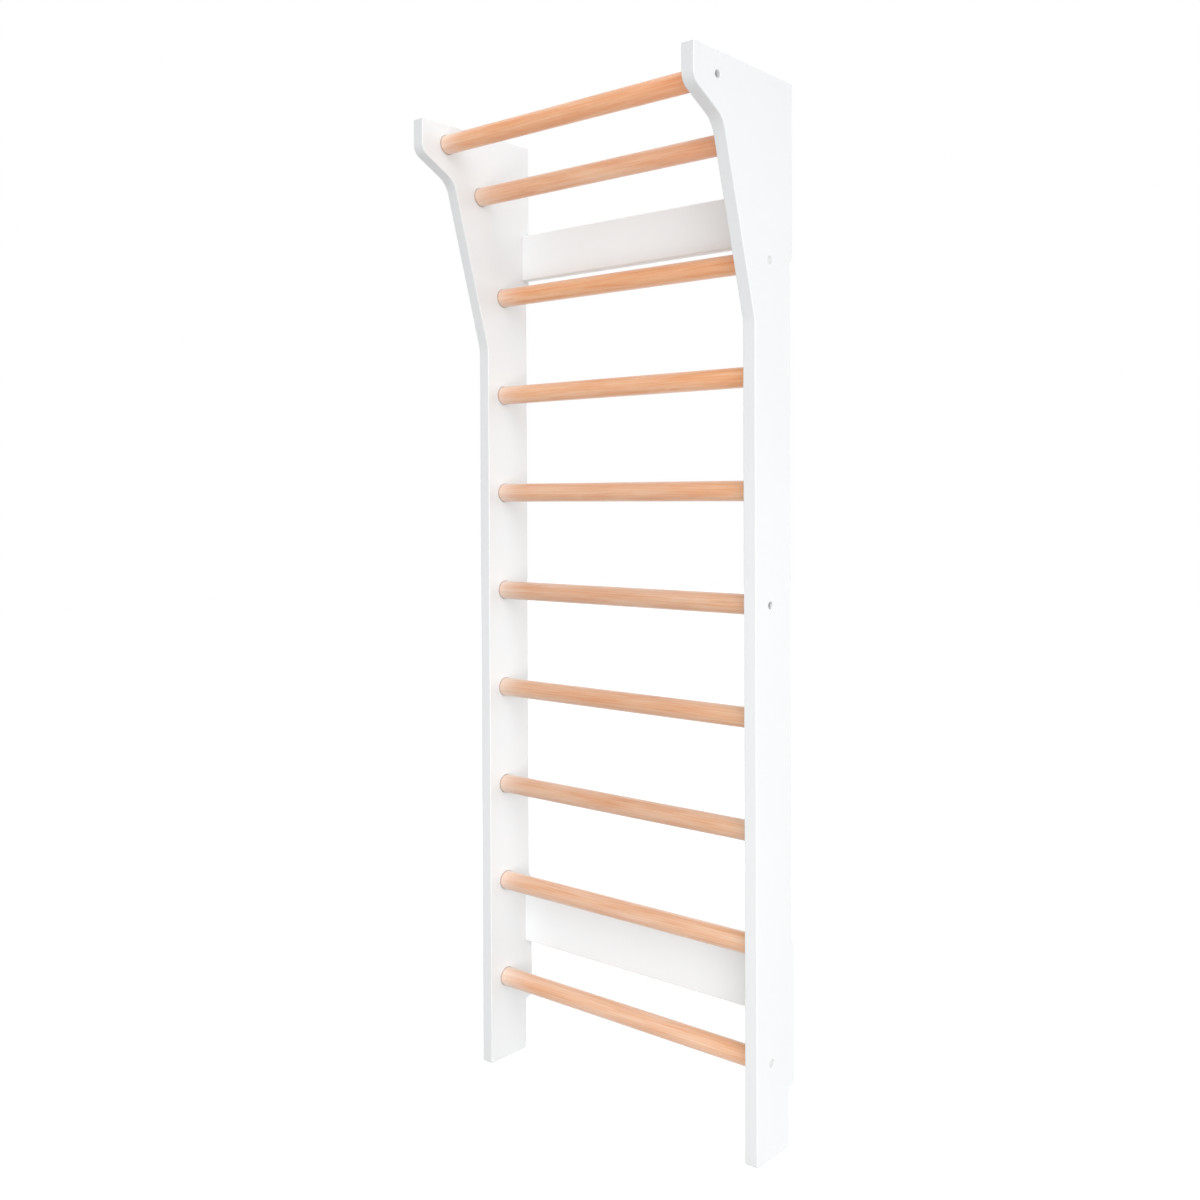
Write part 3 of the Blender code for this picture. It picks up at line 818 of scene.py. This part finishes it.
def store_value(tree, geometry, name, value, kind, domain):
    """Write an attribute, and pass the geometry on."""
    node = add_node(tree, "GeometryNodeStoreNamedAttribute", {"data_type": kind, "domain": domain})
    node.inputs["Name"].default_value = name
    tree.links.new(geometry, node.inputs["Geometry"])
    tree.links.new(value, node.inputs["Value"])
    return node.outputs["Geometry"]


def set_modifier_inputs(modifier, values):
    """Set a tree's inputs by their sockets' identifiers."""
    for item in modifier.node_group.interface.items_tree:
        if item.in_out == "INPUT" and item.name in values:
            modifier[item.identifier] = values[item.name]


def chance_around(tree, seed, spread, middle):
    """For each copy, a random number that lies within half the spread of the middle."""
    chance = add_node(tree, "FunctionNodeRandomValue", {"data_type": "FLOAT"})
    tree.links.new(seed, chance.inputs["Seed"])
    centred = arithmetic(tree, "SUBTRACT", chance.outputs[1], 0.5)
    return arithmetic(tree, "MULTIPLY_ADD", centred, spread, middle)


def rung_tree():
    """Copies of two rung shapes on points, each with its own warmth, lightness and grain."""
    tree, given, made = new_geometry_tree(
        "set_out_rungs",
        [
            ("Plain Rung", "NodeSocketObject"),
            ("Bored Rung", "NodeSocketObject"),
            ("Warmth Spread", "NodeSocketFloat"),
            ("Warmth Seed", "NodeSocketInt"),
            ("Lightness Spread", "NodeSocketFloat"),
            ("Lightness Seed", "NodeSocketInt"),
            ("Grain Seed", "NodeSocketInt"),
            ("Material", "NodeSocketMaterial"),
        ],
    )
    bored = named_value(tree, "bored", "FLOAT")
    joined = add_node(tree, "GeometryNodeJoinGeometry")
    for label, operation in (("Plain Rung", "LESS_THAN"), ("Bored Rung", "GREATER_THAN")):
        shape = add_node(tree, "GeometryNodeObjectInfo", Object=given.outputs[label])
        place = add_node(tree, "GeometryNodeInputPosition").outputs[0]
        local = store_value(
            tree, shape.outputs["Geometry"], "rung_place", place, "FLOAT_VECTOR", "POINT"
        )
        settings = {"data_type": "FLOAT", "operation": operation}
        chosen = add_node(tree, "FunctionNodeCompare", settings)
        tree.links.new(bored, chosen.inputs[0])
        chosen.inputs[1].default_value = BORED_ABOVE
        copies = add_node(tree, "GeometryNodeInstanceOnPoints", Instance=local)
        tree.links.new(given.outputs["Geometry"], copies.inputs["Points"])
        tree.links.new(chosen.outputs[0], copies.inputs["Selection"])
        tree.links.new(copies.outputs["Instances"], joined.inputs[0])

    geometry = joined.outputs[0]
    warmth = chance_around(
        tree,
        given.outputs["Warmth Seed"],
        given.outputs["Warmth Spread"],
        named_value(tree, "warmth", "FLOAT"),
    )
    geometry = store_value(tree, geometry, "rung_warmth", warmth, "FLOAT", "INSTANCE")
    lightness = chance_around(
        tree, given.outputs["Lightness Seed"], given.outputs["Lightness Spread"], 1.0
    )
    geometry = store_value(tree, geometry, "rung_lightness", lightness, "FLOAT", "INSTANCE")
    shift = add_node(tree, "FunctionNodeRandomValue", {"data_type": "FLOAT_VECTOR"})
    shift.inputs[0].default_value = GRAIN_SHIFT_LEAST
    shift.inputs[1].default_value = GRAIN_SHIFT_MOST
    tree.links.new(given.outputs["Grain Seed"], shift.inputs["Seed"])
    geometry = store_value(
        tree, geometry, "rung_shift", shift.outputs[0], "FLOAT_VECTOR", "INSTANCE"
    )

    real = add_node(tree, "GeometryNodeRealizeInstances", Geometry=geometry)
    total = add_node(tree, "ShaderNodeVectorMath", {"operation": "ADD"})
    tree.links.new(named_value(tree, "rung_place", "FLOAT_VECTOR"), total.inputs[0])
    tree.links.new(named_value(tree, "rung_shift", "FLOAT_VECTOR"), total.inputs[1])
    placed = store_value(
        tree, real.outputs[0], "rung_place", total.outputs[0], "FLOAT_VECTOR", "POINT"
    )
    finished = add_node(tree, "GeometryNodeSetMaterial", Geometry=placed)
    tree.links.new(given.outputs["Material"], finished.inputs["Material"])
    tree.links.new(finished.outputs[0], made.inputs[0])
    return tree


# %% Rungs
WARMTH_AT_FLOOR = 0.05
WARMTH_RISE = 0.65


def rung_shape(name, bored):
    """One turned rung about X, with chamfered ends, bored where it takes inserts."""
    end = RUNG_LENGTH / 2
    half = [(end, 0.0)]
    if bored:
        floor = end - RUNG_BORE_DEPTH
        half = [(floor, 0.0), (floor, RUNG_BORE_RADIUS), (end, RUNG_BORE_RADIUS)]
    half += [(end, RUNG_RADIUS - RUNG_END_CHAMFER), (end - RUNG_END_CHAMFER, RUNG_RADIUS)]
    profile = list(half)
    for step in range(1, RUNG_STATIONS):
        profile.append((end - RUNG_END_CHAMFER - 2 * end * step / RUNG_STATIONS, RUNG_RADIUS))
    profile += [(-x, radius) for x, radius in half[::-1]]
    bm = bmesh.new()
    turned(bm, profile, RUNG_SIDES)
    return add_object(name, mesh_from(bm, name))


def point_mesh(name, points, attributes):
    """Loose points that carry one number each for every named attribute."""
    mesh = bpy.data.meshes.new(name)
    mesh.from_pydata([tuple(point) for point in points], [], [])
    for label, values in attributes.items():
        layer = mesh.attributes.new(label, "FLOAT", "POINT")
        layer.data.foreach_set("value", values)
    return mesh


def warmth_at(point):
    """The photographed rungs grow warmer from the floor to the top of the panels."""
    return WARMTH_AT_FLOOR + WARMTH_RISE * point.z / TOP_Z


axes = [rung_axis(number) for number in RUNG_NUMBERS]
facts = {
    "bored": [float(number in BOLTED_RUNGS) for number in RUNG_NUMBERS],
    "warmth": [warmth_at(point) for point in axes],
}
plain_rung = rung_shape("plain_rung", False)
bored_rung = rung_shape("bored_rung", True)
layout = add_object("rung_layout", point_mesh("rung_layout", axes, facts))
setting_out = layout.modifiers.new("set_out", "NODES")
setting_out.node_group = rung_tree()
set_modifier_inputs(
    setting_out,
    {
        "Plain Rung": plain_rung,
        "Bored Rung": bored_rung,
        "Warmth Spread": 0.70,
        "Warmth Seed": 48642,
        "Lightness Spread": 0.28,
        "Lightness Seed": 43707,
        "Grain Seed": 7,
        "Material": rung_beech,
    },
)
rungs = add_object("rungs", evaluated_mesh(layout, "rungs"))
for helper in (layout, plain_rung, bored_rung):
    bpy.data.objects.remove(helper, do_unlink=True)
dress(rungs, rung_beech, [f"rung_{number:02d}" for number in RUNG_NUMBERS])

# %% [markdown]
# The bolts show at the bottom of their counterbores, and two on each side hide under caps.
# They are set out like the rungs: one shape, a point for each copy, and a tree that turns the
# copies on the left round to face the other way. Nobody lines up the sockets of bolts, so each
# copy is also turned about its own axis by chance.

# %% The tree that sets out fastenings


def fastening_tree():
    """Copies of one shape on points; each is spun by chance and faces its own side."""
    tree, given, made = new_geometry_tree(
        "set_out_fastenings",
        [
            ("Shape", "NodeSocketObject"),
            ("Most Spin", "NodeSocketFloat"),
            ("Seed", "NodeSocketInt"),
            ("Material", "NodeSocketMaterial"),
        ],
    )
    shape = add_node(tree, "GeometryNodeObjectInfo", Object=given.outputs["Shape"])
    chance = add_node(tree, "FunctionNodeRandomValue", {"data_type": "FLOAT"})
    tree.links.new(given.outputs["Seed"], chance.inputs["Seed"])
    spin = arithmetic(tree, "MULTIPLY", chance.outputs[1], given.outputs["Most Spin"])
    turn = add_node(tree, "ShaderNodeCombineXYZ", X=spin, Z=named_value(tree, "facing", "FLOAT"))
    copies = add_node(tree, "GeometryNodeInstanceOnPoints", Instance=shape.outputs["Geometry"])
    tree.links.new(given.outputs["Geometry"], copies.inputs["Points"])
    tree.links.new(turn.outputs[0], copies.inputs["Rotation"])
    real = add_node(tree, "GeometryNodeRealizeInstances", Geometry=copies.outputs["Instances"])
    finished = add_node(tree, "GeometryNodeSetMaterial", Geometry=real.outputs[0])
    tree.links.new(given.outputs["Material"], finished.inputs["Material"])
    tree.links.new(finished.outputs[0], made.inputs[0])
    return tree


# %% Bolts and caps
HEXAGON_TURN = math.radians(60)
DRILL_POINT = 1.3
FASTENING_SEED = 3


def quarter_round(end_x, radius, softening):
    """The points that soften the rim of a flat end, from its face to its side."""
    points = []
    for degrees in SOFT_END_DEGREES:
        angle = math.radians(degrees)
        x = end_x - softening * (1 - math.cos(angle))
        points.append((x, radius - softening * (1 - math.sin(angle))))
    return points


def bolt_mesh(length):
    """A low head with a hexagonal socket on a plain shank; the head's top faces +X."""
    top = length / 2
    tip = -top
    under_head = top - BOLT_HEAD_HEIGHT
    profile = [(top, 0.0)] + quarter_round(top, BOLT_HEAD_RADIUS, BOLT_SOFTENING)
    profile += [(under_head, BOLT_HEAD_RADIUS), (under_head, BOLT_RADIUS)]
    profile += [(tip + BOLT_SOFTENING, BOLT_RADIUS), (tip, BOLT_RADIUS - BOLT_SOFTENING)]
    profile += [(tip, 0.0)]
    bm = bmesh.new()
    turned(bm, profile, FASTENING_SIDES)
    hexagon = bmesh.new()
    corner_radius = HEX_SOCKET_WIDTH / math.sqrt(3)
    socket = [(top + PAST_THE_FACE, 0.0), (top + PAST_THE_FACE, corner_radius)]
    socket += [(top - HEX_SOCKET_DEPTH, corner_radius)]
    socket += [(top - HEX_SOCKET_DEPTH * DRILL_POINT, 0.0)]
    turned(hexagon, socket, HEXAGON_SIDES)
    return cut_out(mesh_from(bm, "bolt"), mesh_from(hexagon, "hexagon"), "bolt")


def cap_mesh(length, radius):
    """A flat cap with a soft rim, on the stem that holds it up; its face is towards +X."""
    top = length / 2
    profile = [(top, 0.0)] + quarter_round(top, radius, CAP_SOFTENING)
    profile += [(top - CAP_THICKNESS, radius), (top - CAP_THICKNESS, CAP_STEM_RADIUS)]
    profile += [(-top, CAP_STEM_RADIUS), (-top, 0.0)]
    bm = bmesh.new()
    turned(bm, profile, FASTENING_SIDES)
    return mesh_from(bm, "cap")


def set_out(name, mesh, nodes, most_spin, material):
    """Put a copy of a mesh at each node, and let the copies replace the nodes."""
    centres = [middle_of(node) for node in nodes]
    facing = [0.0 if centre.x > 0 else math.pi for centre in centres]
    shape = add_object(name + "_shape", mesh)
    layout = add_object(name + "_layout", point_mesh(name, centres, {"facing": facing}))
    modifier = layout.modifiers.new("set_out", "NODES")
    modifier.node_group = fastenings_set_out
    set_modifier_inputs(
        modifier,
        {"Shape": shape, "Most Spin": most_spin, "Seed": FASTENING_SEED, "Material": material},
    )
    piece = add_object(name, evaluated_mesh(layout, name))
    for helper in (layout, shape):
        bpy.data.objects.remove(helper, do_unlink=True)
    dress(piece, material, nodes)


fastenings_set_out = fastening_tree()
bolt_low, bolt_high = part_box("right_bolt_01")
bolts = [f"{word}_bolt_{number:02d}" for word in ("left", "right") for number in BOLTED_RUNGS]
bolt = bolt_mesh(bolt_high.x - bolt_low.x)
set_out("bolts", bolt, bolts, HEXAGON_TURN, bolt_steel)

cap_low, cap_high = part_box("right_cap_03")
caps = [f"{word}_cap_{number:02d}" for word in ("left", "right") for number in CAPPED_RUNGS]
cap = cap_mesh(cap_high.x - cap_low.x, (cap_high.z - cap_low.z) / 2)
set_out("caps", cap, caps, 0.0, cap_plastic)

# %% [markdown]
# The inserts and dowels are out of sight, and their solids already have the right shape. A
# solid that stays only needs its material, which goes into its own material slot.

# %% Inserts and dowels
for word, material in (("insert", insert_steel), ("dowel", dowel_beech)):
    found = [node for name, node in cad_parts.items() if f"_{word}_" in name]
    for node in found:
        node.data.materials.clear()
        node.data.materials.append(material)
    print(word, len(found))

# %% [markdown]
# The light is a plain studio. Three wide distant lamps in front, up to the right, give the
# right panel its light and the rungs their soft shading. A weak one from the left reaches
# what the right panel shades, and two soft boxes lighten what is low and near. The floor and
# the surround are white to the camera and in reflections, but light the bars at a lower
# level, so that white lacquer keeps its shades. Only the side behind the bars, where a white
# wall would be, is brighter. The floor adds that white to its own lit colour, and so it still
# shows the bars' soft shadow.

# %% Surround and lamps
BEHIND = (0.0, 1.0, 0.0)
LAMP_POST = (0.0, 0.0, 3.0)


def seen_directly(tree):
    """1 for what the camera sees, also in a mirror or through glass, and 0 for other light."""
    path = add_node(tree, "ShaderNodeLightPath").outputs
    seen = arithmetic(tree, "MAXIMUM", path["Is Camera Ray"], path["Is Glossy Ray"])
    return arithmetic(tree, "MAXIMUM", seen, path["Is Transmission Ray"])


def white_surround(even_level, extra_levels):
    """White to the camera; it lights the bars evenly, and more from some sides."""
    world = bpy.data.worlds.new("studio")
    world.use_nodes = True
    tree = world.node_tree
    tree.nodes.clear()
    outwards = add_node(tree, "ShaderNodeTexCoord").outputs["Generated"]
    level = even_level
    for side, extra in extra_levels:
        facing = add_node(tree, "ShaderNodeVectorMath", {"operation": "DOT_PRODUCT"})
        tree.links.new(outwards, facing.inputs[0])
        facing.inputs[1].default_value = side
        share = arithmetic(tree, "MAXIMUM", facing.outputs["Value"], 0.0)
        level = arithmetic(tree, "MULTIPLY_ADD", share, extra, level)
    lighting = add_node(tree, "ShaderNodeBackground", Color=(1, 1, 1, 1), Strength=level)
    backdrop = add_node(tree, "ShaderNodeBackground", Color=(1, 1, 1, 1), Strength=1.0)
    mix = add_node(tree, "ShaderNodeMixShader", Fac=seen_directly(tree))
    tree.links.new(lighting.outputs[0], mix.inputs[1])
    tree.links.new(backdrop.outputs[0], mix.inputs[2])
    output = add_node(tree, "ShaderNodeOutputWorld")
    tree.links.new(mix.outputs[0], output.inputs["Surface"])
    bpy.context.scene.world = world


def white_floor(half_width, own_colour, glow):
    """A matt floor that adds a white glow to its own lit colour, where it is seen."""
    bm = bmesh.new()
    bmesh.ops.create_grid(bm, x_segments=1, y_segments=1, size=half_width)
    floor = add_object("floor", mesh_from(bm, "floor"))
    material, tree, shader = new_material("floor_white")
    shader.inputs["Base Color"].default_value = (*own_colour, 1.0)
    shader.inputs["Roughness"].default_value = 1.0
    shader.inputs["Specular IOR Level"].default_value = 0.0
    strength = arithmetic(tree, "MULTIPLY", seen_directly(tree), glow)
    light = add_node(tree, "ShaderNodeEmission", Color=(1, 1, 1, 1), Strength=strength)
    both = add_node(tree, "ShaderNodeAddShader")
    tree.links.new(shader.outputs[0], both.inputs[0])
    tree.links.new(light.outputs[0], both.inputs[1])
    tree.links.new(both.outputs[0], tree.nodes["Material Output"].inputs["Surface"])
    floor.data.materials.append(material)


def hang_lamp(name, data, place, towards):
    """Put a lamp in its place, turned so that it shines from there the given way."""
    lamp = bpy.data.objects.new(name, data)
    lamp.location = place
    lamp.rotation_euler = Vector(towards).to_track_quat("-Z", "Y").to_euler()
    bpy.context.scene.collection.objects.link(lamp)
    return lamp


def distant_lamp(name, direction, level, angle_degrees):
    """A lamp so far away that all of the bars get the same; direction points to it."""
    data = bpy.data.lights.new(name, "SUN")
    data.energy = level * math.pi
    data.angle = math.radians(angle_degrees)
    return hang_lamp(name, data, LAMP_POST, -Vector(direction))


def soft_box(name, place, aim, width, power):
    """A square lamp near the bars; what is closer to it gets more."""
    data = bpy.data.lights.new(name, "AREA")
    data.shape = "SQUARE"
    data.size = width
    data.energy = power
    lamp = hang_lamp(name, data, place, Vector(aim) - Vector(place))
    lamp.visible_camera = False
    return lamp


white_surround(even_level=0.24, extra_levels=[(BEHIND, 1.89)])
white_floor(half_width=12.0, own_colour=(0.50, 0.50, 0.50), glow=0.60)
distant_lamp("key_lamp", (0.78, -0.34, 0.52), level=0.315, angle_degrees=70.0)
distant_lamp("front_lamp", (0.55, -0.75, 0.35), level=0.265, angle_degrees=90.0)
distant_lamp("high_lamp", (0.35, -0.60, 0.72), level=0.256, angle_degrees=60.0)
distant_lamp("left_lamp", (-0.76, -0.55, 0.35), level=0.070, angle_degrees=90.0)
soft_box("right_soft_box", (2.4, -1.9, 0.6), aim=(0.0, 0.0, 0.8), width=1.6, power=25.5)
soft_box("low_soft_box", (0.8, -1.8, 0.35), aim=(-0.3, 0.0, 0.3), width=1.0, power=6.3)
